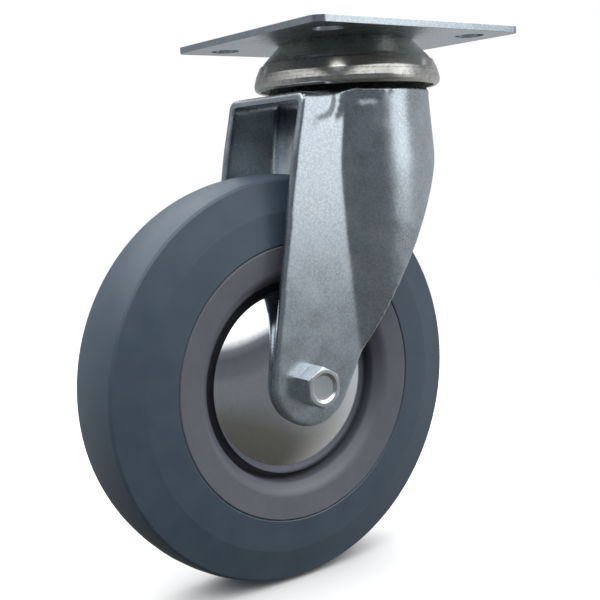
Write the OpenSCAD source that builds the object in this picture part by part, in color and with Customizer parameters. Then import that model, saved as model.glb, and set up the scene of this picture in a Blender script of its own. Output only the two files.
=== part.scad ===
// Swivel castor with a top plate, a double ball race, a pressed fork and a rubber tyred wheel.
// Millimetres. The origin is the centre of the plate's top face, on the swivel axis, and +Z is up.
// The axle lies along Y, and the wheel trails towards -X.

/* [Top plate] */
// Length of the plate along X
plate_l = 80; // [74:0.5:90]
// Width of the plate along Y
plate_w = 75; // [70:0.5:90]
// Thickness of the plate
plate_t = 2; // [1.8:0.1:4]
// Radius of the plate's corners
plate_corner_r = 3.5; // [1:0.5:8]
// Hole spacing along X
hole_pitch_x = 56; // [54:0.5:62]
// Hole spacing along Y
hole_pitch_y = 54; // [53:0.5:60]
// Radius of each fixing hole
hole_r = 4.5; // [3:0.25:5]

/* [Swivel head] */
// Radius of the balls in both swivel races
swivel_ball_r = 3; // [2.5:0.1:3]
// Pitch radius of the upper balls
upper_pitch_r = 19; // [18:0.25:19.5]
// Number of upper balls
upper_balls = 18; // [12:1:18]
// Pitch radius of the lower balls
lower_pitch_r = 15; // [14:0.25:15.5]
// Number of lower balls
lower_balls = 14; // [10:1:14]
// Radius of the kingpin's shank
kingpin_r = 6; // [5:0.25:6.5]

/* [Fork] */
// Thickness of the fork's sheet
fork_t = 2.6; // [2:0.1:3]
// Half width over the outside of the legs
leg_y = 19.75; // [19.25:0.25:22]
// Height of the crown's top face
crown_z = -17.4; // [-18:0.1:-17.2]
// Distance from the swivel axis to the axle, behind it
trail = 33.7; // [30:0.1:36]
// Depth from the plate's top face to the axle
axle_drop = 104; // [104:0.5:108]

/* [Wheel] */
// Radius of the tyre at the middle of its tread
tyre_r = 62.5; // [60:0.25:63]
// Radius of the tyre at its shoulders
shoulder_r = 61.3; // [58:0.1:62]
// Half width of the tread at the shoulders
tread_y = 10.4; // [9:0.1:12]
// Half width of the wheel where the tyre meets the centre
wheel_y = 14.4; // [13:0.1:14.6]
// Radius of the line where the tyre meets the centre
seat_r = 41.7; // [40:0.1:43]
// Inner radius of the wheel centre's flat face
face_r = 31; // [30:0.1:33]

/* [Axle] */
// Radius of the axle bolt's shank
bolt_r = 4; // [3.5:0.25:4]
// Width of the bolt head across its flats
head_af = 11; // [10:0.5:13]
// Height of the bolt head
head_h = 5.8; // [4:0.1:7]
// Outer radius of the thread guards
guard_r = 28.4; // [26:0.1:29]

/* [Hidden] */
$fn = 96;
eps = 0.01;
play = 0.05;                                  // gap round balls and between parts of one stack

cup_t = 2;                                    // sheet of the swivel cup
race_t = 1.3;                                 // upper race ring
race_dip = 0.6;                               // depth of every ball track
cup_z = -plate_t - cup_t;                     // underside of the cup's web
race_z = cup_z - race_t;                      // underside of the upper race
upper_ball_z = race_z + race_dip - swivel_ball_r;
dome_z = upper_ball_z - swivel_ball_r + race_dip;     // top of the fork's raised dome
dome_under_z = dome_z - fork_t;
lower_ball_z = dome_under_z + race_dip - swivel_ball_r;
lower_race_z = lower_ball_z - swivel_ball_r + race_dip;
lower_race_t = 2.5;
lower_race_r = 19.5;
nut_z = lower_race_z - lower_race_t;          // top of the kingpin nut
kingpin_end = nut_z - 10;
kingpin_head_r = 9.8;
kingpin_hole_r = 8;                           // hole in the fork's dome, clear of the kingpin

crown_under_z = crown_z - fork_t;
leg_inner_y = leg_y - fork_t;
bulge_top_r = 25.5;                           // round back of the fork, at the crown
bulge_low_r = 27.3;                           // and lower down, from bulge_low_z on
bulge_low_z = -40;
bulge_rise = 1.2;                             // the round back stands this far above the crown
crown_round = 2.5;                            // outer bend radius between crown and legs

guard_t = 1;
guard_edge_y = 9.9;                           // outer face of the guard at its rim
guard_flat_r = 10;                            // flat middle that the leg clamps
sleeve_r = 6;
sleeve_y = leg_inner_y - guard_t;
bearing_y = 8.5;                              // middle plane of each bearing
bearing_w = 8;
bearing_out_r = 14;
bearing_pitch_r = 10.05;
bearing_ball_r = 2.38;
bearing_balls = 8;
inner_ring_r = 8.1;
outer_ring_r = 12;                            // inner wall of the outer ring
hub_end_y = bearing_y + bearing_w / 2;
hub_step_y = bearing_y - bearing_w / 2;
hub_r = 17.5;
washer_t = 1.6;
nut_af = 13;
nut_h = 8;

// A turned ring about Z, from radius r0 to r1 and height z0 to z1.
module ring(r0, r1, z0, z1) {
    translate([0, 0, z0])
        difference() {
            cylinder(r = r1, h = z1 - z0);
            translate([0, 0, -eps]) cylinder(r = r0, h = z1 - z0 + 2 * eps);
        }
}

// A round ball track about Z: the space that the balls sweep, with play.
module track(pitch_r, z, ball_r) {
    translate([0, 0, z])
        rotate_extrude() translate([pitch_r, 0]) circle(r = ball_r + play, $fn = 48);
}

// Balls set evenly on a circle about Z.
module ball_circle(count, pitch_r, z, ball_r) {
    for (i = [0 : count - 1])
        rotate([0, 0, i * 360 / count]) translate([pitch_r, 0, z]) sphere(r = ball_r, $fn = 32);
}

// Puts what is turned about Z on the axle, with its +Z towards +Y.
module on_axle() {
    translate([-trail, 0, -axle_drop]) rotate([-90, 0, 0]) children();
}

// The same with +Z towards -Y, for the near side.
module on_axle_near() {
    mirror([0, 1, 0]) on_axle() children();
}

// ---- swivel head ----

module top_plate() {
    color("#b9c1c4")
        translate([0, 0, -plate_t])
            linear_extrude(plate_t)
                difference() {
                    plate_outline();
                    for (sx = [-1, 1], sy = [-1, 1])
                        translate([sx * hole_pitch_x / 2, sy * hole_pitch_y / 2]) circle(r = hole_r);
                    circle(r = kingpin_head_r + 0.2);
                }
}

module plate_outline() {
    square([plate_l - 2 * plate_corner_r, plate_w], center = true);
    square([plate_l, plate_w - 2 * plate_corner_r], center = true);
    for (sx = [-1, 1], sy = [-1, 1])
        translate([sx * (plate_l / 2 - plate_corner_r), sy * (plate_w / 2 - plate_corner_r)])
            circle(r = plate_corner_r, $fn = 48);
}

module swivel_cup() {
    outer = [[21.3, -plate_t], [24.2, -5], [26.4, -7.8], [27.6, -8.6], [28.9, -11.5], [29.5, -14.2],
        [29.3, -15.4]];
    inner = [[27.6, -14.2], [27, -12], [25.3, -9.4], [22.8, -6.2], [20.6, cup_z]];
    lip_z = -16.3;
    color("#8e9492")
        rotate_extrude() {
            polygon(concat([[kingpin_r + play, -plate_t]], outer, [[28.4, lip_z], [27.5, lip_z]], inner,
                [[kingpin_r + play, cup_z]]));
        }
}

// The ring's rim is coned to sit in the cup.
module upper_race() {
    rim = 20.6 - play;
    flare = (22.8 - 20.6) / (6.2 + cup_z);
    color("#a3a7a6")
        difference() {
            rotate_extrude()
                polygon([[kingpin_r + play, cup_z], [rim, cup_z], [rim + flare * race_t, race_z],
                    [kingpin_r + play, race_z]]);
            track(upper_pitch_r, upper_ball_z, swivel_ball_r);
        }
}

module upper_ball_set() {
    color("#c9cccd") ball_circle(upper_balls, upper_pitch_r, upper_ball_z, swivel_ball_r);
}

module lower_ball_set() {
    color("#c9cccd") ball_circle(lower_balls, lower_pitch_r, lower_ball_z, swivel_ball_r);
}

module lower_race() {
    color("#a3a7a6")
        difference() {
            ring(kingpin_r + play, lower_race_r, nut_z, lower_race_z);
            track(lower_pitch_r, lower_ball_z, swivel_ball_r);
        }
}

module kingpin() {
    head_top = -0.3;
    color("#a9adac") {
        translate([0, 0, -plate_t]) cylinder(r = kingpin_head_r, h = plate_t + head_top);
        translate([0, 0, kingpin_end]) cylinder(r = kingpin_r, h = -plate_t - kingpin_end + eps);
    }
}

module kingpin_nut() {
    af = 18;
    h = 8;
    color("#a9adac")
        translate([0, 0, nut_z - h])
            difference() {
                hexagon(af, h);
                translate([0, 0, -eps]) cylinder(r = kingpin_r + play, h = h + 2 * eps);
            }
}

// A hexagonal prism about Z, of width af across the flats.
module hexagon(af, h) {
    cylinder(r = af / 2 / cos(30), h = h, $fn = 6);
}

// ---- fork ----

// Outline of the fork seen from its side, drawn with Z as the second axis.
module fork_side() {
    end_x = 0.4 - trail;
    end_z = 1.5 - axle_drop;
    end_r = 14.05;
    skirt_z = -31;
    skirt_r = 10;
    skirt = [for (a = [150 : -12 : 90]) [29.4 + skirt_r * cos(a), skirt_z - skirt_r + skirt_r * sin(a)]];
    polygon(concat([[-32, 0], [-32, crown_z], [-36, -35], [end_x - 13.85, end_z + 2.4],
        [end_x, end_z - 5], [end_x + 12.2, end_z - 6.95]], skirt, [[40, skirt_z], [40, 0]]));
    translate([end_x, end_z]) circle(r = end_r);
}

// A channel along X that opens downwards, solid, with its bends rounded.
module channel(half, top, bend) {
    deep = 130;
    translate([0.001, 0, 0]) rotate([90, 0, -90])
        linear_extrude(60) {
            translate([-half, top - deep]) square([2 * half, deep - bend]);
            translate([-half + bend, top - deep]) square([2 * half - 2 * bend, deep]);
            for (s = [-1, 1])
                translate([s * (half - bend), top - bend]) circle(r = bend, $fn = 48);
        }
}

// The round back of the fork, solid, about the swivel axis.
module bulge(top_r, low_r, top, bend) {
    rotate_extrude() {
        polygon([[0, top], [top_r - bend, top], [top_r, top - bend], [low_r, bulge_low_z],
            [low_r - 0.7, -58], [low_r - 3.2, -100], [low_r - 3.2, -120], [0, -120]]);
        intersection() {
            translate([top_r - bend, top - bend]) circle(r = bend, $fn = 48);
            translate([top_r - bend, top - bend]) square(bend);
        }
    }
}

module race_dome() {
    rotate_extrude()
        polygon([[0, dome_z], [21.4, dome_z], [23.6, dome_z - 2.2], [24.6, -15], [25.1, crown_z],
            [25.1, crown_under_z], [0, crown_under_z]]);
}

module dome_hollow() {
    rotate_extrude()
        polygon([[0, dome_under_z], [20.2, dome_under_z], [21.2, dome_under_z - 1.2],
            [22.1, crown_z], [22.1, crown_under_z - eps], [0, crown_under_z - eps]]);
}

module fork() {
    color("#aab4b8")
        difference() {
            union() {
                intersection() {
                    difference() {
                        union() {
                            channel(leg_y, crown_z, crown_round);
                            bulge(bulge_top_r, bulge_low_r, crown_z + bulge_rise, crown_round);
                        }
                        translate([-5, 0, 0]) channel(leg_inner_y, crown_under_z, 0.6);
                        channel(leg_inner_y, crown_under_z, 0.6);
                        bulge(bulge_top_r - fork_t, bulge_low_r - fork_t, crown_under_z + bulge_rise, 0.6);
                    }
                    translate([0, 60, 0]) rotate([90, 0, 0]) linear_extrude(120) fork_side();
                }
                race_dome();
            }
            dome_hollow();
            track(upper_pitch_r, upper_ball_z, swivel_ball_r);
            track(lower_pitch_r, lower_ball_z, swivel_ball_r);
            translate([0, 0, dome_under_z - 1]) cylinder(r = kingpin_hole_r, h = fork_t + 2);
            on_axle() translate([0, 0, -30]) cylinder(r = bolt_r + 0.2, h = 60);
        }
}

// ---- axle ----

module axle_bolt() {
    length = 2 * leg_y + washer_t + nut_h + 2;
    dish_r = 4.3;
    dish = 0.7;
    color("#b4b8b7")
        on_axle_near() {
            difference() {
                translate([0, 0, leg_y]) rotate([0, 0, 30]) hexagon(head_af, head_h);
                translate([0, 0, leg_y + head_h - dish]) cylinder(r = dish_r, h = dish + eps);
            }
            translate([0, 0, leg_y - length]) cylinder(r = bolt_r, h = length + eps);
        }
}

module axle_washer() {
    color("#b4b8b7") on_axle() ring(bolt_r + play, 8.5, leg_y, leg_y + washer_t);
}

module axle_nut() {
    color("#b4b8b7")
        on_axle() translate([0, 0, leg_y + washer_t])
            difference() {
                rotate([0, 0, 30]) hexagon(nut_af, nut_h);
                translate([0, 0, -eps]) cylinder(r = bolt_r + play, h = nut_h + 2 * eps);
            }
}

module axle_sleeve() {
    color("#9a9e9d") on_axle() ring(bolt_r + play, sleeve_r, -sleeve_y, sleeve_y);
}

module inner_spacer() {
    color("#9a9e9d") on_axle() ring(sleeve_r + play, 7.6, -hub_step_y, hub_step_y);
}

module spacer_washer() {
    color("#9a9e9d") ring(sleeve_r + play, 8.1, hub_end_y, sleeve_y);
}

// A domed disc: a flat middle of radius guard_flat_r, then an arc down to the rim.
module thread_guard() {
    run = guard_r - guard_flat_r;
    drop = leg_inner_y - guard_edge_y;
    arc_r = (run * run + drop * drop) / (2 * drop);
    color("#d9dcdd")
        rotate_extrude() {
            translate([bolt_r + play, sleeve_y]) square([guard_flat_r - bolt_r - play, guard_t]);
            intersection() {
                translate([guard_flat_r, leg_inner_y - arc_r])
                    difference() {
                        circle(r = arc_r, $fn = 180);
                        circle(r = arc_r - guard_t, $fn = 180);
                    }
                translate([guard_flat_r - eps, guard_edge_y - guard_t])
                    square([run, drop + guard_t]);
            }
        }
}

// ---- bearings, turned about Z at their own place on the axle ----

module inner_ring() {
    color("#c3c6c7")
        difference() {
            ring(sleeve_r, inner_ring_r, hub_step_y, hub_end_y);
            track(bearing_pitch_r, bearing_y, bearing_ball_r);
        }
}

module outer_ring() {
    color("#c3c6c7")
        difference() {
            ring(outer_ring_r, bearing_out_r, hub_step_y, hub_end_y);
            track(bearing_pitch_r, bearing_y, bearing_ball_r);
        }
}

// A snap-in crown cage: open pockets on one side, a whole ring on the other.
module cage() {
    open_side = 1.5;
    back_side = 3.2;
    color("#b8a56a")
        difference() {
            ring(bearing_pitch_r - 0.8, bearing_pitch_r + 0.8, bearing_y - open_side,
                bearing_y + back_side);
            ball_circle(bearing_balls, bearing_pitch_r, bearing_y, bearing_ball_r + play);
        }
}

module shields() {
    thin = 0.3;
    color("#8b8f90") {
        ring(inner_ring_r + 0.3, outer_ring_r, hub_step_y + 0.2, hub_step_y + 0.2 + thin);
        ring(inner_ring_r + 0.3, outer_ring_r, hub_end_y - 0.2 - thin, hub_end_y - 0.2);
    }
}

module balls() {
    color("#c9cccd") ball_circle(bearing_balls, bearing_pitch_r, bearing_y, bearing_ball_r);
}

// ---- wheel ----

// Half of the seat that the tyre is moulded on, as radius and width.
seat = [[seat_r, wheel_y], [43.5, 11.5], [46.5, 9.5]];

module tyre() {
    crown_arc_r = (pow(tread_y, 2) + pow(tyre_r - shoulder_r, 2)) / (2 * (tyre_r - shoulder_r));
    side = [[51.5, 13.25], [shoulder_r - 0.5, tread_y + 0.5], [tyre_r + 1, tread_y - 1.3]];
    color("#66727d")
        on_axle()
            rotate_extrude()
                intersection() {
                    polygon(concat(flipped(side), reverse(side), seat, reverse(flipped(seat))));
                    translate([tyre_r - crown_arc_r, 0]) circle(r = crown_arc_r);
                }
}

module seat_shape() {
    polygon(concat([[0, -wheel_y]], flipped(seat), reverse(seat), [[0, wheel_y]]));
}

module wheel_centre() {
    recess = [[face_r + 3.2, wheel_y - 0.7], [face_r + 1.3, wheel_y - 1.5], [face_r, wheel_y - 3.3],
        [30.2, 4], [hub_r + 0.6, 4], [hub_r, hub_end_y]];
    color("#85858d")
        on_axle()
            rotate_extrude()
                difference() {
                    seat_shape();
                    for (s = [-1, 1]) {
                        scaled = [for (p = recess) [p[0], s * p[1]]];
                        polygon(concat([[0, s * hub_end_y], [0, s * 20], [seat_r - 0.6, s * 20],
                            [seat_r - 0.6, s * wheel_y]], scaled));
                        translate([0, s > 0 ? hub_step_y : -hub_end_y])
                            square([bearing_out_r, bearing_w]);
                    }
                    translate([0, -20]) square([outer_ring_r, 40]);
                }
}

// The same outline points on the other side of the wheel's middle plane.
function flipped(list) = [for (p = list) [p[0], -p[1]]];

// The points in the opposite order.
function reverse(list) = [for (i = [len(list) - 1 : -1 : 0]) list[i]];

top_plate();
swivel_cup();
upper_race();
upper_ball_set();
lower_ball_set();
lower_race();
kingpin();
kingpin_nut();
fork();
axle_bolt();
axle_washer();
axle_nut();
axle_sleeve();
on_axle_near() thread_guard();  // thread_guard_near
on_axle() thread_guard();  // thread_guard_far
on_axle_near() spacer_washer();  // spacer_washer_near
on_axle() spacer_washer();  // spacer_washer_far
inner_spacer();
on_axle_near() inner_ring();  // bearing_inner_ring_near
on_axle() inner_ring();  // bearing_inner_ring_far
on_axle_near() balls();  // bearing_balls_near
on_axle() balls();  // bearing_balls_far
on_axle_near() cage();  // bearing_cage_near
on_axle() cage();  // bearing_cage_far
on_axle_near() outer_ring();  // bearing_outer_ring_near
on_axle() outer_ring();  // bearing_outer_ring_far
on_axle_near() shields();  // bearing_shields_near
on_axle() shields();  // bearing_shields_far
wheel_centre();
tyre();
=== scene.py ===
"""Swivel castor with a grey rubber wheel: its visible pieces and finishes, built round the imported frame."""

import logging
import math
from collections.abc import Callable, Iterator
from contextlib import contextmanager
from dataclasses import dataclass, field
from enum import Enum

import bpy
from mathutils import Matrix, Vector

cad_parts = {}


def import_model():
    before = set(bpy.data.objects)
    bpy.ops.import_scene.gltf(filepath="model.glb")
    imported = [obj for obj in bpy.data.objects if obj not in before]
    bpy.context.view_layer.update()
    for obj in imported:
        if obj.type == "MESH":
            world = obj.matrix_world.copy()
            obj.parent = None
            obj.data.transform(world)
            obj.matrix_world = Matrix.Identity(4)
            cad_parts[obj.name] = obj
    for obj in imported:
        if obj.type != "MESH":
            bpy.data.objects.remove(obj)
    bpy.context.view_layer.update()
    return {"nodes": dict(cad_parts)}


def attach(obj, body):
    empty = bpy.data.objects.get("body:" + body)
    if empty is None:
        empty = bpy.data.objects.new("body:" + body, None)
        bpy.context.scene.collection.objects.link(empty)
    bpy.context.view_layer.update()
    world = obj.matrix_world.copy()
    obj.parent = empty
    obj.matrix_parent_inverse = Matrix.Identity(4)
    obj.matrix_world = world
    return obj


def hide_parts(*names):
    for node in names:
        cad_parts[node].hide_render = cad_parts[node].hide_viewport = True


LOG = logging.getLogger("castor")
MM = 0.001
Point = tuple[float, float]


# ---------------------------------------------------------------- modelling helpers


class Solver(Enum):
    """How one solid is combined with another."""

    CUT = "DIFFERENCE"
    JOIN = "UNION"
    KEEP = "INTERSECT"


def select_only(obj: bpy.types.Object) -> None:
    """Make an object the only selected one, and the active one.

    Args:
        obj: The object.
    """
    bpy.ops.object.select_all(action="DESELECT")
    obj.select_set(True)
    bpy.context.view_layer.objects.active = obj


@contextmanager
def editing(obj: bpy.types.Object, mode: str = "VERT") -> Iterator[bpy.types.Object]:
    """Open obj in edit mode with nothing selected, and close it again.

    Args:
        obj: The mesh object to edit.
        mode: The select mode, VERT, EDGE or FACE.

    Yields:
        The same object, while it is open.
    """
    select_only(obj)
    bpy.ops.object.mode_set(mode="EDIT")
    bpy.ops.mesh.select_mode(type=mode)
    bpy.ops.mesh.select_all(action="DESELECT")
    yield obj
    bpy.ops.object.mode_set(mode="OBJECT")


def pick(obj: bpy.types.Object, mode: str, test: Callable[..., bool]) -> int:
    """Select the vertices, edges or faces of obj that pass a test, in edit mode.

    Args:
        obj: The mesh object, already in edit mode.
        mode: VERT, EDGE or FACE.
        test: Takes a vertex's place, an edge's two ends, or a face's middle and normal, in millimetres.

    Returns:
        How many were selected.
    """
    bpy.ops.mesh.select_mode(type=mode)
    bpy.ops.mesh.select_all(action="DESELECT")
    bpy.ops.object.mode_set(mode="OBJECT")
    mesh = obj.data
    count = 0
    if mode == "VERT":
        for vertex in mesh.vertices:
            vertex.select = bool(test(vertex.co / MM))
            count += vertex.select
    elif mode == "EDGE":
        for edge in mesh.edges:
            ends = [mesh.vertices[i].co / MM for i in edge.vertices]
            edge.select = bool(test(*ends))
            count += edge.select
    else:
        for face in mesh.polygons:
            face.select = bool(test(face.center / MM, face.normal))
            count += face.select
    bpy.ops.object.mode_set(mode="EDIT")
    return count


def modify(obj: bpy.types.Object, kind: str, **settings: object) -> bpy.types.Object:
    """Add one modifier with its settings and apply it.

    Args:
        obj: The object to change.
        kind: The modifier's type.
        **settings: Its properties by name.

    Returns:
        The same object.
    """
    select_only(obj)
    modifier = obj.modifiers.new(kind.lower(), kind)
    for name, value in settings.items():
        setattr(modifier, name, value)
    bpy.ops.object.modifier_apply(modifier=modifier.name)
    return obj


def combine(obj: bpy.types.Object, tool: bpy.types.Object, how: Solver) -> bpy.types.Object:
    """Cut, join or keep a solid with another solid, which is used up.

    Args:
        obj: The solid that stays.
        tool: The solid that is used up.
        how: What is done with the two.

    Returns:
        The solid that stays.
    """
    modify(obj, "BOOLEAN", operation=how.value, object=tool, solver="EXACT")
    bpy.data.objects.remove(tool)
    return obj


def settle(obj: bpy.types.Object, smooth_deg: float = 35.0) -> bpy.types.Object:
    """Finish a mesh: bake its place in, merge doubles, turn faces outwards and shade it.

    Args:
        obj: The mesh object.
        smooth_deg: Edges flatter than this angle are shaded smooth.

    Returns:
        The same object.
    """
    select_only(obj)
    bpy.ops.object.transform_apply(location=True, rotation=True, scale=True)
    with editing(obj):
        bpy.ops.mesh.select_all(action="SELECT")
        bpy.ops.mesh.remove_doubles(threshold=0.002 * MM)
        bpy.ops.mesh.normals_make_consistent(inside=False)
    select_only(obj)
    bpy.ops.object.shade_smooth_by_angle(angle=math.radians(smooth_deg))
    return obj


def bevel_edges(obj: bpy.types.Object, width_mm: float, segments: int = 3) -> bpy.types.Object:
    """Round every edge of a solid that is sharper than 32 degrees."""
    return modify(obj, "BEVEL", width=width_mm * MM, segments=segments, limit_method="ANGLE",
                  angle_limit=math.radians(32), use_clamp_overlap=True)


def nudge(
    obj: bpy.types.Object,
    place: tuple[float, float, float],
    move: tuple[float, float, float],
    reach: float,
    core: tuple[float, float, float] = (0.5, 0.5, 0.5),
) -> None:
    """Push or pull the skin of a mesh at one place, with a soft edge.

    Args:
        obj: The mesh object.
        place: The middle of the spot, in millimetres.
        move: How far it moves, in millimetres.
        reach: How far round the spot the skin follows, in millimetres.
        core: Half the size of the spot that moves the whole way, in millimetres.
    """
    with editing(obj):
        found = pick(obj, "VERT", lambda v: all(abs(v[i] - place[i]) < core[i] for i in range(3)))
        if found:
            bpy.ops.transform.translate(value=Vector(move) * MM, use_proportional_edit=True,
                                        proportional_edit_falloff="SMOOTH", proportional_size=reach * MM)
        else:
            LOG.warning("%s: no skin at %s", obj.name, place)


def start_vertex(name: str, place: Vector) -> bpy.types.Object:
    """Add a small plane and merge it to the single vertex that an outline is drawn from.

    Args:
        name: The new object's name.
        place: The vertex's place, in millimetres.

    Returns:
        The object, left in edit mode with its vertex selected.
    """
    bpy.ops.mesh.primitive_plane_add(size=MM, location=place * MM)
    obj = bpy.context.active_object
    obj.name = name
    select_only(obj)
    bpy.ops.object.transform_apply(location=True)
    bpy.ops.object.mode_set(mode="EDIT")
    bpy.ops.mesh.select_mode(type="VERT")
    bpy.ops.mesh.select_all(action="SELECT")
    bpy.ops.mesh.merge(type="CENTER")
    return obj


def draw_outline(name: str, points: list[Vector]) -> bpy.types.Object:
    """Draw a line through points by extruding a vertex.

    Args:
        name: The new object's name.
        points: The line's points in order, in millimetres.

    Returns:
        The object, left in edit mode.
    """
    obj = start_vertex(name, points[0])
    for here, there in zip(points, points[1:]):
        bpy.ops.mesh.extrude_region_move(TRANSFORM_OT_translate={"value": (there - here) * MM})
    return obj


def rounded(points: list[tuple[float, float, float]], segments: int = 6) -> list[Point]:
    """Round the corners of an outline.

    Args:
        points: Corners as (u, v, radius), where a radius of 0 keeps the corner sharp.
        segments: Straight pieces in each rounded corner.

    Returns:
        The outline's points, with an arc at each rounded corner.
    """
    made: list[Point] = []
    for i, (u, v, radius) in enumerate(points):
        here = Vector((u, v))
        if radius == 0 or i in (0, len(points) - 1):
            made.append((u, v))
            continue
        back = (Vector(points[i - 1][:2]) - here).normalized()
        ahead = (Vector(points[i + 1][:2]) - here).normalized()
        half = back.angle(ahead) / 2
        reach = radius / math.tan(half)
        middle = here + (back + ahead).normalized() * (radius / math.sin(half))
        first, last = here + back * reach - middle, here + ahead * reach - middle
        turn = first.angle_signed(last)
        for k in range(segments + 1):
            arm = first.copy()
            arm.rotate(Matrix.Rotation(-turn * k / segments, 2))
            made.append(tuple(middle + arm))
    return made


@dataclass(frozen=True)
class Lathe:
    """A turning axis: its place, its direction, and the direction that radius is drawn in."""

    centre: Vector
    axis: Vector
    side: Vector

    def place(self, point: Point) -> Vector:
        """Where an outline point (radius, height along the axis) lies, in millimetres."""
        return self.centre + self.side * point[0] + self.axis * point[1]

    def turn(self, name: str, outline: list[Point], steps: int = 128) -> bpy.types.Object:
        """Spin a closed outline once round the axis.

        Args:
            name: The new piece's name.
            outline: Points as (radius, height), in millimetres. The last one joins the first.
            steps: Faces round the turn.

        Returns:
            The turned piece, settled.
        """
        closed = outline if outline[0][0] == outline[-1][0] == 0 else [*outline, outline[0]]
        obj = draw_outline(name, [self.place(p) for p in closed])
        bpy.ops.mesh.select_all(action="SELECT")
        bpy.ops.mesh.spin(steps=steps, angle=2 * math.pi, center=self.centre * MM, axis=self.axis)
        bpy.ops.object.mode_set(mode="OBJECT")
        return settle(obj)


def prism(name: str, points: list[Vector], depth: Vector) -> bpy.types.Object:
    """Fill an outline and extrude it.

    Args:
        name: The new solid's name.
        points: The outline's corners, in millimetres.
        depth: How far and which way it is extruded, in millimetres.

    Returns:
        The solid.
    """
    obj = draw_outline(name, points)
    bpy.ops.mesh.select_all(action="SELECT")
    bpy.ops.mesh.edge_face_add()
    bpy.ops.mesh.extrude_region_move(TRANSFORM_OT_translate={"value": depth * MM})
    bpy.ops.object.mode_set(mode="OBJECT")
    return settle(obj)


SWIVEL_AXIS = Lathe(Vector((0, 0, 0)), Vector((0, 0, 1)), Vector((1, 0, 0)))


# ---------------------------------------------------------------- finishes


def linear(hex_code: str) -> tuple[float, float, float, float]:
    """Turn an sRGB hex colour into the linear colour that shaders take.

    Args:
        hex_code: The colour, as #rrggbb.

    Returns:
        Red, green, blue and an alpha of 1.
    """
    channels = [int(hex_code[i : i + 2], 16) / 255 for i in (1, 3, 5)]
    made = [c / 12.92 if c <= 0.04045 else ((c + 0.055) / 1.055) ** 2.4 for c in channels]
    return (*made, 1.0)


def per_metre(size_mm: float) -> float:
    """The texture scale that makes a pattern repeat about every size_mm."""
    return 1 / (size_mm * MM)


def add_node(
    tree: bpy.types.NodeTree,
    kind: str,
    links: dict[str | int, bpy.types.NodeSocket] | None = None,
    values: dict[str | int, object] | None = None,
    **settings: object,
) -> bpy.types.Node:
    """Add one node with its settings, its values and its links.

    Args:
        tree: The node tree to add to.
        kind: The node's type name.
        links: Input socket to the output that feeds it.
        values: Input socket to its constant.
        **settings: The node's own properties.

    Returns:
        The node.
    """
    node = tree.nodes.new(kind)
    for name, value in settings.items():
        setattr(node, name, value)
    for name, value in (values or {}).items():
        node.inputs[name].default_value = value
    for name, source in (links or {}).items():
        tree.links.new(source, node.inputs[name])
    return node


def paint_ramp(node: bpy.types.Node, stops: list[tuple[float, str]]) -> bpy.types.Node:
    """Set a colour ramp's stops.

    Args:
        node: The ramp's node.
        stops: Each stop's place from 0 to 1, in order, and its sRGB hex colour.

    Returns:
        The same node.
    """
    ramp = node.color_ramp
    while len(ramp.elements) < len(stops):
        ramp.elements.new(0.5)
    for element, (place, colour) in zip(ramp.elements, stops):
        element.position = place
        element.color = linear(colour)
    return node


def fresh(name: str) -> tuple[bpy.types.Material, bpy.types.NodeTree, bpy.types.Node]:
    """Start a material.

    Args:
        name: The material's name.

    Returns:
        The material, its node tree, and its shader, which already feeds the output.
    """
    material = bpy.data.materials.new(name)
    material.use_nodes = True
    tree = material.node_tree
    shader = next(n for n in tree.nodes if n.type == "BSDF_PRINCIPLED")
    return material, tree, shader


def dress(obj: bpy.types.Object, material: bpy.types.Material) -> bpy.types.Object:
    """Give an object one material all over.

    Args:
        obj: The object.
        material: The material.

    Returns:
        The same object.
    """
    obj.data.materials.clear()
    obj.data.materials.append(material)
    return obj


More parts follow.
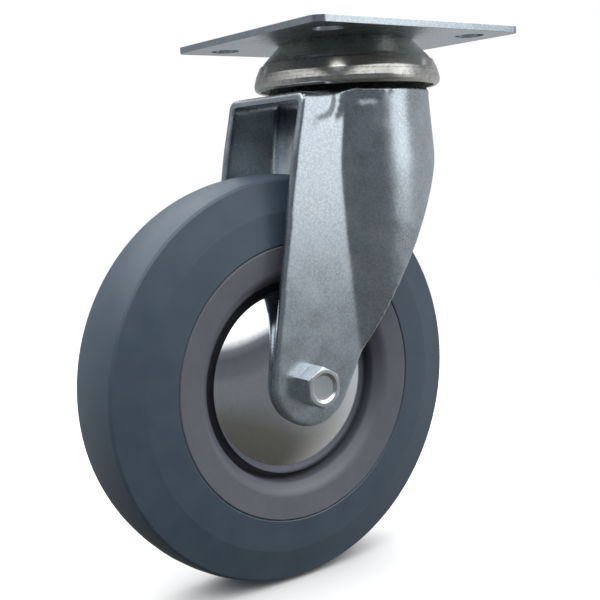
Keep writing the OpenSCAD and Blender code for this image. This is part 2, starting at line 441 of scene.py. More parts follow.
@dataclass(frozen=True)
class ZincPlatedSheet:
    """Bright zinc plated pressed steel: a cool grey metal with a frosted, faintly mottled skin.

    The plating is thin, so the rolled grain of the sheet still shows under it, and the passivation
    gives patches a slightly bluer or paler tint. The crystals are finer on the real sheet, and are
    drawn as coarse as they need to be to show.
    """

    name: str = "zinc_plated_pressed_steel"
    cool: str = "#bdc7cf"
    pale: str = "#c9d1d7"
    warm: str = "#b7bfc5"
    roughness: float = 0.27
    mottle_mm: float = 7.0
    frost_mm: float = 0.8
    grain_mm: float = 0.35
    bump_mm: float = 0.01

    def build(self) -> bpy.types.Material:
        """Mix a slow drift of tint with the crystals of the plating and the grain of the sheet.

        Returns:
            The material.
        """
        material, tree, shader = fresh(self.name)
        coords = add_node(tree, "ShaderNodeTexCoord").outputs["Object"]
        mottle = add_node(tree, "ShaderNodeTexNoise", {"Vector": coords},
                          {"Scale": per_metre(self.mottle_mm), "Detail": 3.0, "Roughness": 0.5})
        frost = add_node(tree, "ShaderNodeTexVoronoi", {"Vector": coords},
                         {"Scale": per_metre(self.frost_mm), "Randomness": 1.0})
        grain = add_node(tree, "ShaderNodeTexNoise", {"Vector": coords},
                         {"Scale": per_metre(self.grain_mm), "Detail": 3.0})
        tint = add_node(tree, "ShaderNodeValToRGB", {"Fac": mottle.outputs["Fac"]})
        paint_ramp(tint, [(0.3, self.warm), (0.52, self.cool), (0.74, self.pale)])
        flakes = add_node(tree, "ShaderNodeMapRange", {"Value": frost.outputs["Distance"]},
                          {"From Min": 0.1, "From Max": 0.7, "To Min": 1.06, "To Max": 0.84})
        toned = add_node(tree, "ShaderNodeVectorMath", {0: tint.outputs["Color"]}, operation="SCALE")
        tree.links.new(flakes.outputs["Result"], toned.inputs["Scale"])
        tree.links.new(toned.outputs["Vector"], shader.inputs["Base Color"])
        rough = add_node(tree, "ShaderNodeMapRange", {"Value": mottle.outputs["Fac"]},
                         {"From Min": 0.3, "From Max": 0.7, "To Min": self.roughness - 0.03,
                          "To Max": self.roughness + 0.04})
        tree.links.new(rough.outputs["Result"], shader.inputs["Roughness"])
        height = add_node(tree, "ShaderNodeMath",
                          {0: grain.outputs["Fac"], 1: frost.outputs["Distance"]}, operation="ADD")
        bump = add_node(tree, "ShaderNodeBump", {"Height": height.outputs["Value"]},
                        {"Strength": 0.5, "Distance": self.bump_mm * MM})
        tree.links.new(bump.outputs["Normal"], shader.inputs["Normal"])
        shader.inputs["Metallic"].default_value = 1.0
        return material


@dataclass(frozen=True)
class TurnedMetal:
    """Metal that was drawn or turned round an axis: fine rings that catch the light in bands."""

    name: str
    base: str
    dark: str
    centre_mm: tuple[float, float, float]
    axis: str
    roughness: float = 0.2
    ring_mm: float = 0.8
    ring_depth_mm: float = 0.01
    speck_mm: float = 1.6

    def build(self) -> bpy.types.Material:
        """Draw the rings with noise that only varies with radius and height, and scatter specks over them.

        Returns:
            The material.
        """
        material, tree, shader = fresh(self.name)
        coords = add_node(tree, "ShaderNodeTexCoord").outputs["Object"]
        moved = add_node(tree, "ShaderNodeVectorMath", {0: coords},
                         {1: tuple(-c * MM for c in self.centre_mm)}, operation="ADD")
        split = add_node(tree, "ShaderNodeSeparateXYZ", {"Vector": moved.outputs["Vector"]})
        across = ("X", "Y") if self.axis == "Z" else ("X", "Z")
        flat = add_node(tree, "ShaderNodeCombineXYZ",
                        {"X": split.outputs[across[0]], "Y": split.outputs[across[1]]})
        radius = add_node(tree, "ShaderNodeVectorMath", {0: flat.outputs["Vector"]}, operation="LENGTH")
        turned = add_node(tree, "ShaderNodeCombineXYZ",
                          {"X": radius.outputs["Value"], "Y": split.outputs[self.axis]})
        rings = add_node(tree, "ShaderNodeTexNoise", {"Vector": turned.outputs["Vector"]},
                         {"Scale": per_metre(self.ring_mm), "Detail": 4.0, "Roughness": 0.7})
        specks = add_node(tree, "ShaderNodeTexNoise", {"Vector": coords},
                          {"Scale": per_metre(self.speck_mm), "Detail": 6.0, "Roughness": 0.65})
        mixed = add_node(tree, "ShaderNodeMath",
                         {0: rings.outputs["Fac"], 1: specks.outputs["Fac"]}, operation="ADD")
        tint = add_node(tree, "ShaderNodeValToRGB", {"Fac": mixed.outputs["Value"]})
        paint_ramp(tint, [(0.75, self.dark), (1.0, self.base)])
        tree.links.new(tint.outputs["Color"], shader.inputs["Base Color"])
        rough = add_node(tree, "ShaderNodeMapRange", {"Value": mixed.outputs["Value"]},
                         {"From Min": 0.7, "From Max": 1.3, "To Min": self.roughness + 0.05,
                          "To Max": self.roughness - 0.03})
        tree.links.new(rough.outputs["Result"], shader.inputs["Roughness"])
        bump = add_node(tree, "ShaderNodeBump", {"Height": rings.outputs["Fac"]},
                        {"Strength": 0.4, "Distance": self.ring_depth_mm * MM})
        tree.links.new(bump.outputs["Normal"], shader.inputs["Normal"])
        shader.inputs["Metallic"].default_value = 1.0
        return material


@dataclass(frozen=True)
class MouldedPolymer:
    """Moulded rubber or plastic: a soft sheen over a faint cloudiness, with fine moulded grain."""

    name: str
    base: str
    light: str
    roughness: float
    grain_mm: float
    grain_depth_mm: float
    cloud_mm: float = 9.0

    def build(self) -> bpy.types.Material:
        """Lay a faint cloudiness under the grain of the mould.

        Returns:
            The material.
        """
        material, tree, shader = fresh(self.name)
        coords = add_node(tree, "ShaderNodeTexCoord").outputs["Object"]
        clouds = add_node(tree, "ShaderNodeTexNoise", {"Vector": coords},
                          {"Scale": per_metre(self.cloud_mm), "Detail": 7.0, "Roughness": 0.62})
        grain = add_node(tree, "ShaderNodeTexNoise", {"Vector": coords},
                         {"Scale": per_metre(self.grain_mm), "Detail": 2.0})
        tint = add_node(tree, "ShaderNodeValToRGB", {"Fac": clouds.outputs["Fac"]})
        paint_ramp(tint, [(0.35, self.base), (0.7, self.light)])
        tree.links.new(tint.outputs["Color"], shader.inputs["Base Color"])
        rough = add_node(tree, "ShaderNodeMapRange", {"Value": clouds.outputs["Fac"]},
                         {"From Min": 0.3, "From Max": 0.7, "To Min": self.roughness - 0.06,
                          "To Max": self.roughness + 0.08})
        tree.links.new(rough.outputs["Result"], shader.inputs["Roughness"])
        bump = add_node(tree, "ShaderNodeBump", {"Height": grain.outputs["Fac"]},
                        {"Strength": 0.6, "Distance": self.grain_depth_mm * MM})
        tree.links.new(bump.outputs["Normal"], shader.inputs["Normal"])
        return material


# ---------------------------------------------------------------- pieces


@dataclass
class Sizes:
    """The places that several sub-assemblies share, in millimetres."""

    axle: Vector = field(default_factory=lambda: Vector((-33.7, 0, -104)))
    leg_y: float = 19.75
    leg_inner_y: float = 17.15

    def on_axle(self, side: int = 1) -> Lathe:
        """The lathe along the axle whose height grows towards +Y for side 1 and -Y for side -1."""
        return Lathe(self.axle, Vector((0, side, 0)), Vector((1, 0, 0)))


def hand_in(
    obj: bpy.types.Object, name: str, body: str, node: str, finish: bpy.types.Material
) -> bpy.types.Object:
    """Name and dress a finished piece, keep its flats flat to the eye, hide the frame's part it stands for,
    and log its body.

    Args:
        obj: The finished mesh.
        name: The piece's name.
        body: The frame's body that it moves with.
        node: The frame's node that it stands for.
        finish: Its material.

    Returns:
        The piece.
    """
    obj.name = name
    obj.data.name = name
    modify(obj, "WEIGHTED_NORMAL", weight=50, keep_sharp=True)
    dress(obj, finish)
    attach(obj, body)
    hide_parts(node)
    LOG.info("%s: %d faces, rides on %s", name, len(obj.data.polygons), body)
    return obj


@dataclass
class TopPlate:
    """The flat fixing plate, blanked from sheet, with four punched holes and the kingpin's seat."""

    length: float = 80.0
    width: float = 75.0
    thick: float = 2.0
    corner_r: float = 3.5
    pitch: Point = (56.0, 54.0)
    hole_r: float = 4.5
    seat_r: float = 10.0
    edge_mm: float = 0.4

    def build(self, finish: bpy.types.Material) -> bpy.types.Object:
        """Blank the plate, punch its holes and break its edges.

        Args:
            finish: Its material.

        Returns:
            The plate.
        """
        x, y = self.length / 2, self.width / 2
        corners = [(0, -y, 0), (x, -y, self.corner_r), (x, y, self.corner_r),
                   (-x, y, self.corner_r), (-x, -y, self.corner_r), (-1, -y, 0)]
        outline = [Vector((u, v, -self.thick)) for u, v in rounded(corners, 10)]
        plate = prism("plate", outline, Vector((0, 0, self.thick)))
        for sx in (-1, 1):
            for sy in (-1, 1):
                self.punch(plate, Vector((sx * self.pitch[0] / 2, sy * self.pitch[1] / 2, 0)), self.hole_r)
        self.punch(plate, Vector((0, 0, 0)), self.seat_r)
        bevel_edges(plate, self.edge_mm, 3)
        return hand_in(settle(plate), "fixing_plate", "plate", "top_plate", finish)

    def punch(self, plate: bpy.types.Object, place: Vector, radius: float) -> None:
        """Cut one round hole through the plate."""
        axis = Lathe(place, Vector((0, 0, 1)), Vector((1, 0, 0)))
        combine(plate, axis.turn("punch", [(0, -6), (radius, -6), (radius, 6), (0, 6)], 64), Solver.CUT)


@dataclass
class SwivelHead:
    """The bell shaped cup under the plate, and the kingpin that holds the swivel together."""

    plate_t: float = 2.0
    cup_z: float = -4.0
    lip_z: float = -16.3
    lip_r: float = 29.5
    kingpin_r: float = 6.0
    kingpin_head_r: float = 9.8
    kingpin_end: float = -30.0
    nut_af: float = 18.0
    nut_top: float = -20.0
    nut_h: float = 8.0

    def cup(self, finish: bpy.types.Material) -> bpy.types.Object:
        """Draw the cup: a waist under the plate, a pressed step, and a flared skirt with a rolled lip.

        Args:
            finish: Its material.

        Returns:
            The cup.
        """
        lip = self.lip_r
        outline = rounded([
            (self.kingpin_r + 0.05, -self.plate_t - 0.01, 0), (21.0, -self.plate_t - 0.01, 0.3),
            (23.8, -4.9, 3), (26.2, -7.4, 2.5), (26.75, -8.2, 0.3), (27.5, -8.55, 0.35), (28.8, -11.4, 2.5),
            (lip, -14.2, 1.2), (lip - 0.2, -15.5, 0.8), (lip - 1.1, self.lip_z, 0.5),
            (lip - 2.0, self.lip_z, 0.35), (27.6, -15.4, 0.3),
            (27.4, -13.6, 1), (26.9, -12, 1), (25.2, -9.4, 2), (22.7, -6.2, 1), (20.6, self.cup_z, 0),
            (self.kingpin_r + 0.05, self.cup_z, 0)], 5)
        return hand_in(SWIVEL_AXIS.turn("cup", outline, 160), "bell_cup", "plate", "swivel_cup",
                       finish)

    def kingpin(self, finish: bpy.types.Material) -> bpy.types.Object:
        """Head the kingpin: a flat, chamfered head with the dimple of its riveting, and a shank.

        Args:
            finish: Its material.

        Returns:
            The kingpin.
        """
        head, end = self.kingpin_head_r, self.kingpin_end
        outline = rounded([
            (0, -0.9, 0), (2.6, -0.8, 0.5), (3.6, -0.32, 0.4), (head - 0.5, -0.3, 0.3), (head, -0.8, 0.3),
            (head, -self.plate_t, 0), (self.kingpin_r, -self.plate_t, 0), (self.kingpin_r, end + 0.8, 0.2),
            (self.kingpin_r - 0.8, end, 0.2), (0, end, 0)], 4)
        return hand_in(SWIVEL_AXIS.turn("pin", outline, 96), "headed_kingpin", "plate", "kingpin",
                       finish)

    def nut(self, finish: bpy.types.Material) -> bpy.types.Object:
        """Make the nut under the fork's crown.

        Args:
            finish: Its material.

        Returns:
            The nut.
        """
        axis = Lathe(Vector((0, 0, self.nut_top - self.nut_h)), Vector((0, 0, 1)), Vector((1, 0, 0)))
        nut = hexagon(axis, self.nut_af, self.nut_h, both_ends=True)
        hole = self.kingpin_r + 0.05
        combine(nut, axis.turn("bore", [(0, -1), (hole, -1), (hole, 10), (0, 10)], 64), Solver.CUT)
        return hand_in(settle(bevel_edges(nut, 0.2, 2)), "kingpin_locknut", "plate", "kingpin_nut",
                       finish)


HEXAGON_FACE = 0.96  # a chamfer's round face, as a part of the width across the flats
HEXAGON_CHAMFER = math.radians(30)


def hexagon(axis: Lathe, flats: float, height: float, both_ends: bool = False) -> bpy.types.Object:
    """Make a hexagon head or nut with its corners chamfered.

    Args:
        axis: Its axis, which starts at its lower face.
        flats: Width across the flats, in millimetres.
        height: Its height, in millimetres.
        both_ends: Chamfer the lower corners too.

    Returns:
        The solid, with two corners on the line at right angles to the axis and to its side.
    """
    corner = flats / 2 / math.cos(math.radians(30))
    third = axis.axis.cross(axis.side)
    points = []
    for k in range(6):
        angle = math.radians(60 * k + 30)
        arm = axis.side * (corner * math.cos(angle)) + third * (corner * math.sin(angle))
        points.append(axis.centre + arm)
    solid = prism("hexagon", points, axis.axis * height)
    reach, face = corner + 0.3, flats / 2 * HEXAGON_FACE
    drop = (reach - face) * math.tan(HEXAGON_CHAMFER)
    tip, rise = face - 0.5, 0.5 * math.tan(HEXAGON_CHAMFER)  # the cones run on past the flat ends
    low = [(0, -rise), (tip, -rise), (reach, drop)] if both_ends else [(0, -0.5), (reach, -0.5)]
    high = [(reach, height - drop), (tip, height + rise), (0, height + rise)]
    combine(solid, axis.turn("chamfer", [*low, *high], 94), Solver.KEEP)
    return solid


@dataclass
class AxleSet:
    """The axle bolt with its dished hexagon head, and its washer and nut on the far side."""

    sizes: Sizes
    shank_r: float = 4.0
    head_af: float = 11.0
    head_h: float = 5.8
    dish_r: float = 4.35
    dish: float = 0.7
    washer_r: float = 8.5
    washer_t: float = 1.6
    nut_af: float = 13.0
    nut_h: float = 8.0

    def bolt(self, finish: bpy.types.Material) -> bpy.types.Object:
        """Forge the bolt: a hexagon head with a dished top, and its shank.

        Args:
            finish: Its material.

        Returns:
            The bolt.
        """
        leg = self.sizes.leg_y
        base = self.sizes.axle + Vector((0, -leg, 0))
        axis = Lathe(base, Vector((0, -1, 0)), Vector((1, 0, 0)))
        bolt = hexagon(axis, self.head_af, self.head_h)
        top = self.head_h
        outline = rounded([(0, top + 1, 0), (self.dish_r + 0.5, top + 1, 0), (self.dish_r + 0.15, top, 0.2),
                           (self.dish_r - 0.7, top - self.dish, 0.5), (0, top - self.dish, 0)], 4)
        combine(bolt, axis.turn("dish", outline, 96), Solver.CUT)
        bevel_edges(bolt, 0.22, 3)
        end = -(2 * leg + self.washer_t + self.nut_h + 2)
        shank = rounded([(0, 0.6, 0), (self.shank_r, 0.6, 0), (self.shank_r, end + 0.6, 0.1),
                         (self.shank_r - 0.6, end, 0.1), (0, end, 0)], 2)
        combine(bolt, axis.turn("shank", shank, 64), Solver.JOIN)
        return hand_in(settle(bolt), "axle_bolt_forged", "fork", "axle_bolt", finish)

    def washer(self, finish: bpy.types.Material) -> bpy.types.Object:
        """Punch the washer.

        Args:
            finish: Its material.

        Returns:
            The washer.
        """
        leg, thick = self.sizes.leg_y, self.washer_t
        inner, outer = self.shank_r + 0.05, self.washer_r
        outline = rounded([(inner + 1, leg, 0), (outer, leg, 0.2), (outer, leg + thick, 0.5),
                           (inner, leg + thick, 0.2), (inner, leg, 0.2), (inner + 0.9, leg, 0)], 3)
        return hand_in(self.sizes.on_axle().turn("washer", outline, 96), "axle_washer_punched", "fork",
                       "axle_washer", finish)

    def nut(self, finish: bpy.types.Material) -> bpy.types.Object:
        """Make the axle nut.

        Args:
            finish: Its material.

        Returns:
            The nut.
        """
        base = self.sizes.axle + Vector((0, self.sizes.leg_y + self.washer_t, 0))
        axis = Lathe(base, Vector((0, 1, 0)), Vector((1, 0, 0)))
        nut = hexagon(axis, self.nut_af, self.nut_h, both_ends=True)
        bore = self.shank_r + 0.05
        outline = [(0, -1), (bore + 1.3, -1), (bore, 0.5), (bore, self.nut_h - 0.5),
                   (bore + 1.3, self.nut_h + 1), (0, self.nut_h + 1)]
        combine(nut, axis.turn("bore", outline, 64), Solver.CUT)
        return hand_in(settle(bevel_edges(nut, 0.2, 2)), "axle_nut_faced", "fork", "axle_nut",
                       finish)


@dataclass
class ThreadGuard:
    """The domed cover each side of the wheel that keeps thread and grit from the bearings."""

    sizes: Sizes
    bore_r: float = 4.05
    flat_r: float = 10.0
    rim_r: float = 28.4
    rim_y: float = 9.9
    sheet: float = 0.8
    steps: int = 24

    def build(self, side: int, name: str, finish: bpy.types.Material) -> bpy.types.Object:
        """Spin one cover.

        Args:
            side: 1 for the far side, -1 for the near side.
            name: near or far, as the frame's nodes have it.
            finish: Its material.

        Returns:
            The cover.
        """
        top = self.sizes.leg_inner_y - 0.02
        run, drop = self.rim_r - self.flat_r, top - self.rim_y
        arc = (run * run + drop * drop) / (2 * drop)
        sweep = math.asin(run / arc)
        low = top - arc

        def bow(radius: float, k: int) -> Point:
            """A point on the bowed face of that radius, at step k from the flat."""
            angle = sweep * k / self.steps
            return (self.flat_r + radius * math.sin(angle), low + radius * math.cos(angle))

        outer = [bow(arc, k) for k in range(self.steps)]
        inner = [bow(arc - self.sheet, k) for k in range(self.steps - 1, -1, -1)]
        edge = rounded([(*outer[-1], 0), (self.rim_r, self.rim_y, 0.3),
                        (self.rim_r - 0.35, self.rim_y - 0.7, 0.3), (*inner[0], 0)], 4)
        outline = [(self.bore_r, top), *outer[:-1], *edge, *inner[1:], (self.bore_r, top - self.sheet)]
        return hand_in(self.sizes.on_axle(side).turn("guard", outline, 192), f"domed_guard_{name}", "fork",
                       f"thread_guard_{name}", finish)


@dataclass
class Wheel:
    """The rubber tyre and the plastic wheel centre that it is moulded onto."""

    sizes: Sizes
    tyre_r: float = 62.5
    shoulder_r: float = 61.3
    tread_y: float = 10.4
    seat: tuple[Point, ...] = ((41.7, 14.4), (43.5, 11.5), (46.5, 9.5))
    crease: Point = (51.5, 13.25)

    def tyre(self, finish: bpy.types.Material) -> bpy.types.Object:
        """Mould the tyre: a slightly crowned tread, soft shoulders with a faint flash line, and sloped sides.

        Args:
            finish: Its material.

        Returns:
            The tyre.
        """
        r, y = self.shoulder_r, self.tread_y
        crown = [(self.tyre_r, 0), (self.tyre_r - 0.2, 3.8), (self.tyre_r - 0.65, 7.4)]
        side = rounded([(*crown[-1], 0), (r - 0.05, y - 0.15, 0.9), (r - 0.75, y + 0.5, 0.4),
                        (*self.crease, 3), (42.2, 14.3, 0.25), (41.85, 14.0, 0.1), (*self.seat[1], 0)], 5)
        half = [*crown[1:-1], *side, self.seat[2]]
        outline = [crown[0], *half, *[(u, -v) for u, v in reversed(half)]]
        return hand_in(self.sizes.on_axle().turn("tyre", outline, 200), "moulded_tyre", "wheel", "tyre",
                       finish)

    def centre(self, finish: bpy.types.Material) -> bpy.types.Object:
        """Mould the wheel centre: a rim whose mouth is flared, a web, and a hub with bearing seats.

        Args:
            finish: Its material.

        Returns:
            The wheel centre.
        """
        half = [(46.45, 0), (46.45, 9.45), (43.45, 11.45),
                *rounded([(43.45, 11.45, 0), (41.5, 14.33, 0.35), (33.6, 13.75, 3.4), (31.0, 10.6, 2.2),
                          (30.2, 4.05, 1.5), (18.1, 4.05, 1.5), (17.5, 12.45, 0.4), (14.1, 12.45, 0)], 6)[1:],
                (14.02, 12.45), (14.02, 4.48), (12.02, 4.48)]
        outline = [*half, *[(u, -v) for u, v in reversed(half[1:])]]
        return hand_in(self.sizes.on_axle().turn("centre", outline, 200), "moulded_wheel_centre", "wheel",
                       "wheel_centre", finish)


@dataclass
class Fork:
    """The pressed fork: a crown and two legs in one sheet, rolled round the swivel head at the back."""

    sheet: float = 2.6
    leg_y: float = 19.75
    crown_z: float = -17.4
    bulge_top_r: float = 25.5
    bulge_low_r: float = 27.3
    bulge_low_z: float = -40.0
    bulge_rise: float = 1.2
    bulge_waist: tuple[Point, ...] = ((-0.7, -58.0), (-3.2, -100.0), (-3.2, -128.0))
    channel_bend: float = 2.6
    bulge_bend: float = 3.6
    front_x: float = -32.0
    knee: Point = (-36.0, -35.0)
    end_centre: Point = (-33.3, -102.5)
    end_r: float = 14.05
    skirt_z: float = -31.0
    skirt_r: float = 10.0
    skirt_x: float = 29.4
    dome_top_z: float = -10.1
    kingpin_hole_r: float = 8.0
    bolt_hole_r: float = 4.2
    axle: Point = (-33.7, -104.0)
    voxel_mm: float = 0.56
    tip_deg: float = 11.2
    block_half: float = 40.0
    block_low: float = -130.0
    fold: tuple[tuple[float, float, float], ...] = (
        (-19.4, -20.6, 0.3), (-19.8, -22.8, 0.34), (-20.8, -24.8, 0.36),
        (-22.4, -26.2, 0.3), (-24.6, -26.9, 0.24), (-27.2, -27.7, 0.2))

    def channel(self, half: float, top: float, bend: float, front: float) -> bpy.types.Object:
        """A solid channel along X, its two upper long edges rounded.

        Args:
            half: Half its width.
            top: Height of its top face.
            bend: Radius of the rounded edges.
            front: X of its front face. Its back face is at the swivel axis.

        Returns:
            The solid.
        """
        bpy.ops.mesh.primitive_cube_add(
            size=1, location=Vector((front / 2, 0, (top + self.block_low) / 2)) * MM,
            scale=Vector((-front, 2 * half, top - self.block_low)) * MM)
        obj = bpy.context.active_object
        select_only(obj)
        bpy.ops.object.transform_apply(location=True, scale=True)
        with editing(obj, "EDGE"):
            pick(obj, "EDGE", lambda a, b: min(a.z, b.z) > top - 0.01 and abs(a.y - b.y) < 0.01)
            bpy.ops.mesh.bevel(offset=bend * MM, segments=8, affect="EDGES")
        return obj

    def bulge(self, inset: float, top: float, bend: float) -> bpy.types.Object:
        """Turn the solid round back, a tapered drum with a rounded upper edge.

        Args:
            inset: How far inside the sheet's outer skin it lies.
            top: Height of its top face.
            bend: Radius of its upper edge.

        Returns:
            The solid.
        """
        low = self.bulge_low_r - inset
        wall = rounded([(0, top, 0), (self.bulge_top_r - inset, top, bend), (low, self.bulge_low_z, 60),
                        (low + self.bulge_waist[0][0], self.bulge_waist[0][1], 60),
                        (low + self.bulge_waist[1][0], self.bulge_waist[1][1], 0)], 8)
        foot = low + self.bulge_waist[2][0], self.bulge_waist[2][1]
        return SWIVEL_AXIS.turn("drum", [*wall, foot, (0, foot[1])], 144)

    def side_outline(self) -> list[Vector]:
        """Draw the fork's outline as it is seen from the side, at the side of the block it is cut from.

        Returns:
            The outline's corners, in millimetres.
        """
        cx, cz = self.end_centre
        points: list[Point] = [(self.front_x, 0), (self.front_x, self.crown_z), self.knee]
        start, stop = math.radians(170), math.radians(330)
        for k in range(33):
            angle = start + (stop - start) * k / 32
            points.append((cx + self.end_r * math.cos(angle), cz + self.end_r * math.sin(angle)))
        for k in range(9):
            angle = math.radians(150 - 60 * k / 8)
            points.append((self.skirt_x + self.skirt_r * math.cos(angle),
                           self.skirt_z - self.skirt_r + self.skirt_r * math.sin(angle)))
        points += [(self.block_half, self.skirt_z), (self.block_half, 0)]
        return [Vector((x, -self.block_half, z)) for x, z in points]

    def dome(self) -> bpy.types.Object:
        """Turn the raised ball track in the middle of the crown.

        Returns:
            The solid.
        """
        outline = rounded([(0, self.dome_top_z, 0), (21.4, self.dome_top_z, 1.2),
                           (24.2, self.dome_top_z - 3.0, 1.5), (25.0, self.crown_z, 0),
                           (26.4, self.crown_z - 1.0, 0), (0, self.crown_z - 1.0, 0)])
        return SWIVEL_AXIS.turn("dome", outline, 128)

    def hollow(self) -> bpy.types.Object:
        """Turn the space under the raised track, with the kingpin's hole above it.

        Returns:
            The solid to cut away.
        """
        under = self.dome_top_z - self.sheet
        outline = [(0, 0), (self.kingpin_hole_r, 0), (self.kingpin_hole_r, under), (20.2, under),
                   (21.2, under - 1.2), (22.1, self.crown_z), (22.1, self.crown_z - self.sheet - 1),
                   (0, self.crown_z - self.sheet - 1)]
        return SWIVEL_AXIS.turn("hollow", outline, 128)

    def tip(self, fork: bpy.types.Object, degrees: float) -> None:
        """Turn the fork about Y. Tipped forward, its slanting front edges line up with the remesh grid.

        Args:
            fork: The fork.
            degrees: How far it is turned.
        """
        select_only(fork)
        fork.rotation_euler.y = math.radians(degrees)
        bpy.ops.object.transform_apply(rotation=True)

    def press_marks(self, fork: bpy.types.Object) -> None:
        """Leave the marks of the press: the sagging crown lip, the fold beside the round back and its dent.

        Args:
            fork: The fork.
        """
        nudge(fork, (-33, 0, -18.6), (0, 0, -0.9), 14, (5, 24, 2.4))
        for side in (-1, 1):
            skin = side * self.leg_y
            for x, z, depth in self.fold:
                nudge(fork, (x, skin, z), (0, -side * depth, 0), 2.6)
            nudge(fork, (-11.2, side * 23.3, -20.4), (0.05, -side * 0.28, 0.05), 2.6, (1.6, 1.4, 0.35))
            nudge(fork, (-13.5, side * 20.6, -17.2), (0, 0, 0.55), 3.0)

    def build(self, finish: bpy.types.Material) -> bpy.types.Object:
        """Press the sheet to shape and dress it.

        The bends are joined and cut as sharp solids, and a fine remesh and a light smoothing then
        give every edge the soft radius that a press leaves.

        Args:
            finish: The plated sheet's material.

        Returns:
            The finished fork.
        """
        under = self.crown_z - self.sheet
        fork = self.channel(self.leg_y, self.crown_z, self.channel_bend, -60)
        combine(fork, self.bulge(0, self.crown_z + self.bulge_rise, self.bulge_bend), Solver.JOIN)
        inside = self.channel(self.leg_y - self.sheet, under, 0.8, -64)
        combine(inside, self.bulge(self.sheet, under + self.bulge_rise, 2.0), Solver.JOIN)
        combine(fork, inside, Solver.CUT)
        combine(fork, prism("side", self.side_outline(), Vector((0, 2 * self.block_half, 0))), Solver.KEEP)
        combine(fork, self.dome(), Solver.JOIN)
        combine(fork, self.hollow(), Solver.CUT)
        drill = Lathe(Vector((self.axle[0], 0, self.axle[1])), Vector((0, 1, 0)), Vector((1, 0, 0)))
        hole = [(0, -30), (self.bolt_hole_r, -30), (self.bolt_hole_r, 30), (0, 30)]
        combine(fork, drill.turn("drill", hole, 64), Solver.CUT)
        self.tip(fork, -self.tip_deg)
        modify(fork, "REMESH", mode="VOXEL", voxel_size=self.voxel_mm * MM)
        modify(fork, "SMOOTH", factor=0.5, iterations=20)
        self.tip(fork, self.tip_deg)
        self.press_marks(fork)
        return hand_in(settle(fork, 60), "fork_pressing", "fork", "fork", finish)


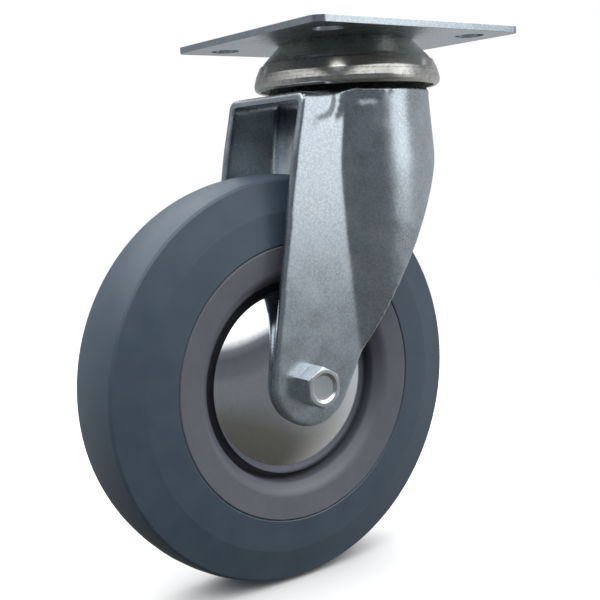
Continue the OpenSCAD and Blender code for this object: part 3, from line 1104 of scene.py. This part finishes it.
@dataclass
class Studio:
    """The camera, the floor and the lights."""

    eye: tuple[float, float, float] = (-203.65, -248.81, -39.68)
    azimuth: float = -36.05
    elevation: float = 7.73
    roll: float = -2.78
    lens: float = 59.14
    sensor: float = 36.0
    target: tuple[float, float, float] = (-20.0, 0.0, -70.0)
    floor_z: float = -166.5
    brightness: float = 1.25

    def camera(self) -> bpy.types.Object:
        """Set the camera up at its place, and make it the scene's.

        Returns:
            The camera.
        """
        azimuth, elevation = math.radians(self.azimuth), math.radians(self.elevation)
        back = Vector((math.sin(azimuth) * math.cos(elevation),
                       -math.cos(azimuth) * math.cos(elevation), math.sin(elevation)))
        bpy.ops.object.camera_add(location=Vector(self.eye) * MM)
        camera = bpy.context.active_object
        turn = back.to_track_quat("Z", "Y").to_matrix() @ Matrix.Rotation(math.radians(self.roll), 3, "Z")
        camera.rotation_euler = turn.to_euler()
        camera.data.lens = self.lens
        camera.data.sensor_width = self.sensor
        camera.data.clip_start = 0.01
        bpy.context.scene.camera = camera
        return camera

    def floor(self) -> bpy.types.Object:
        """Lay a pale floor under the wheel that fades into the white of the studio, unseen in reflections.

        Returns:
            The floor.
        """
        bpy.ops.mesh.primitive_plane_add(size=6, location=(0, 0, self.floor_z * MM))
        floor = bpy.context.active_object
        floor.name = "floor"
        select_only(floor)
        bpy.ops.object.transform_apply(location=True)
        material, tree, shader = fresh("pale_studio_floor")
        shader.inputs["Base Color"].default_value = linear("#f6f6f6")
        shader.inputs["Roughness"].default_value = 0.8
        coords = add_node(tree, "ShaderNodeTexCoord").outputs["Object"]
        away = add_node(tree, "ShaderNodeVectorMath", {0: coords}, {1: (0, 0, -self.floor_z * MM)},
                        operation="ADD")
        reach = add_node(tree, "ShaderNodeVectorMath", {0: away.outputs["Vector"]}, operation="LENGTH")
        fade = add_node(tree, "ShaderNodeMapRange", {"Value": reach.outputs["Value"]},
                        {"From Min": 0.12, "From Max": 0.7, "To Min": 1.0, "To Max": 0.0},
                        interpolation_type="SMOOTHSTEP")
        tree.links.new(fade.outputs["Result"], shader.inputs["Alpha"])
        dress(floor, material)
        floor.visible_glossy = False
        floor.visible_diffuse = False
        return floor

    def softbox(
        self, azimuth: float, elevation: float, distance: float, size: Point, radiance: float
    ) -> None:
        """Aim a rectangular light at the castor.

        Args:
            azimuth: Where it stands round the castor, from -Y towards +X, in degrees.
            elevation: Its height above the horizon, in degrees.
            distance: From the castor, in metres.
            size: Its width and height, in metres.
            radiance: How bright its face looks.
        """
        a, e = math.radians(azimuth), math.radians(elevation)
        target = Vector(self.target) * MM
        out = Vector((math.sin(a) * math.cos(e), -math.cos(a) * math.cos(e), math.sin(e)))
        bpy.ops.object.light_add(type="AREA", location=target + out * distance)
        light = bpy.context.active_object
        light.rotation_euler = out.to_track_quat("Z", "Y").to_euler()
        light.data.shape = "RECTANGLE"
        light.data.size, light.data.size_y = size
        light.data.energy = radiance * math.pi * size[0] * size[1]

    def wall(self, tree: bpy.types.NodeTree, coords: bpy.types.NodeSocket,
             facing: tuple[float, float, float], edge: Point, glow: float) -> bpy.types.NodeSocket:
        """Light one side of the room a little more.

        Args:
            tree: The world's node tree.
            coords: The direction that is looked in.
            facing: The direction of the wall's middle.
            edge: The cosines at which its glow starts and is full.
            glow: How much light it adds.

        Returns:
            The socket with the light that it adds.
        """
        ahead = add_node(tree, "ShaderNodeVectorMath", {0: coords}, {1: facing}, operation="DOT_PRODUCT")
        lit = add_node(tree, "ShaderNodeMapRange", {"Value": ahead.outputs["Value"]},
                       {"From Min": edge[0], "From Max": edge[1], "To Min": 0.0, "To Max": glow},
                       interpolation_type="SMOOTHSTEP")
        return lit.outputs["Result"]

    def surroundings(self) -> None:
        """Plain white behind the castor, and for light and reflections a bright ceiling over dim walls."""
        world = bpy.data.worlds.new("studio")
        bpy.context.scene.world = world
        world.use_nodes = True
        tree = world.node_tree
        tree.nodes.clear()
        coords = add_node(tree, "ShaderNodeTexCoord").outputs["Generated"]
        split = add_node(tree, "ShaderNodeSeparateXYZ", {"Vector": coords})
        height = add_node(tree, "ShaderNodeMapRange", {"Value": split.outputs["Z"]},
                          {"From Min": -1.0, "From Max": 1.0})
        room = add_node(tree, "ShaderNodeValToRGB", {"Fac": height.outputs["Result"]})
        paint_ramp(room, [(0.0, "#4c4a46"), (0.2, "#54544e"), (0.37, "#6a6d71"), (0.475, "#6c6f73"),
                          (0.52, "#5f6368"), (0.64, "#54575c"), (0.7, "#6e7278"), (0.8, "#ffffff")])
        right = self.wall(tree, coords, (0.97, 0.24, 0.1), (0.1, 0.9), 0.3)
        back = self.wall(tree, coords, (-0.6, 0.8, 0.0), (0.6, 0.95), 0.15)
        ceiling = add_node(tree, "ShaderNodeMapRange", {"Value": split.outputs["Z"]},
                           {"From Min": 0.42, "From Max": 0.7, "To Min": 0.0, "To Max": 0.8})
        walls = add_node(tree, "ShaderNodeMath", {0: right, 1: back}, operation="ADD")
        extra = add_node(tree, "ShaderNodeMath", {0: walls.outputs["Value"], 1: ceiling.outputs["Result"]},
                         operation="ADD")
        lit = add_node(tree, "ShaderNodeVectorMath", {0: room.outputs["Color"], 1: extra.outputs["Value"]},
                       operation="ADD")
        seen = add_node(tree, "ShaderNodeBackground", {"Color": lit.outputs["Vector"]},
                        {"Strength": self.brightness})
        behind = add_node(tree, "ShaderNodeBackground", values={"Color": linear("#ffffff"), "Strength": 1.0})
        path = add_node(tree, "ShaderNodeLightPath")
        mixed = add_node(tree, "ShaderNodeMixShader",
                         {0: path.outputs["Is Camera Ray"], 1: seen.outputs["Background"],
                          2: behind.outputs["Background"]})
        add_node(tree, "ShaderNodeOutputWorld", {"Surface": mixed.outputs["Shader"]})
        bpy.context.scene.view_settings.view_transform = "Standard"


def main() -> None:
    """Load the frame, build every piece in order and report it."""
    logging.basicConfig(level=logging.INFO, format="%(name)s: %(message)s")
    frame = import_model()
    nodes = frame["nodes"]

    sizes = Sizes()
    studio = Studio()
    studio.camera()
    studio.floor()
    studio.surroundings()
    studio.softbox(35, 12.5, 1.1, (0.5, 0.66), 1.4)

    axle = tuple(sizes.axle)
    # Zinc plated rolled sheet: cool and frosted, so the legs shade softly from bright to grey.
    zinc = ZincPlatedSheet().build()
    # Zinc plated drawn steel: warmer and ringed, with bands of light that run round the cup.
    cup = TurnedMetal("zinc_plated_drawn_cup", "#c9c9c3", "#a3a39b", (0, 0, 0), "Z", 0.22).build()
    # Polished and plated steel: all but a mirror, with rings that only show where a highlight ends.
    guard = TurnedMetal("polished_plated_guard", "#e2e5e8", "#dadee1", axle, "Y", 0.05, 1.2, 0.0006).build()
    # Zinc plated forged steel: a pale satin that picks the fasteners out from the sheet.
    fastener = TurnedMetal("zinc_plated_fastener", "#d6dbde", "#c3c8cb", axle, "Y", 0.28, 0.6, 0.004).build()
    # Ground bearing steel: clean, even and a little darker, for the tracks and balls inside.
    steel = TurnedMetal("ground_bearing_steel", "#c6c8c9", "#a8aaab", axle, "Y", 0.18).build()
    # Moulded rubber: slate grey and dull, with a sheen only at a grazing angle.
    rubber = MouldedPolymer("slate_grey_rubber", "#465563", "#4d5c6a", 0.42, 0.5, 0.02).build()
    # Moulded polypropylene: a warmer, lighter grey than the tyre and slightly waxy.
    plastic = MouldedPolymer("grey_polypropylene", "#686a74", "#6f717b", 0.38, 0.7, 0.015).build()
    # Moulded nylon: the cream colour of unpigmented bearing cages.
    nylon = MouldedPolymer("natural_nylon", "#c8bd98", "#d6ccaa", 0.45, 0.5, 0.01).build()
    for name, node in nodes.items():
        dress(node, nylon if name.startswith("bearing_cage") else steel)

    TopPlate().build(zinc)
    head = SwivelHead()
    head.cup(cup)
    head.kingpin(fastener)
    head.nut(fastener)
    Fork().build(zinc)
    axle_set = AxleSet(sizes)
    axle_set.bolt(fastener)
    axle_set.washer(fastener)
    axle_set.nut(fastener)
    cover = ThreadGuard(sizes)
    cover.build(-1, "near", guard)
    cover.build(1, "far", guard)
    wheel = Wheel(sizes)
    wheel.tyre(rubber)
    wheel.centre(plastic)


if __name__ == "__main__":
    main()
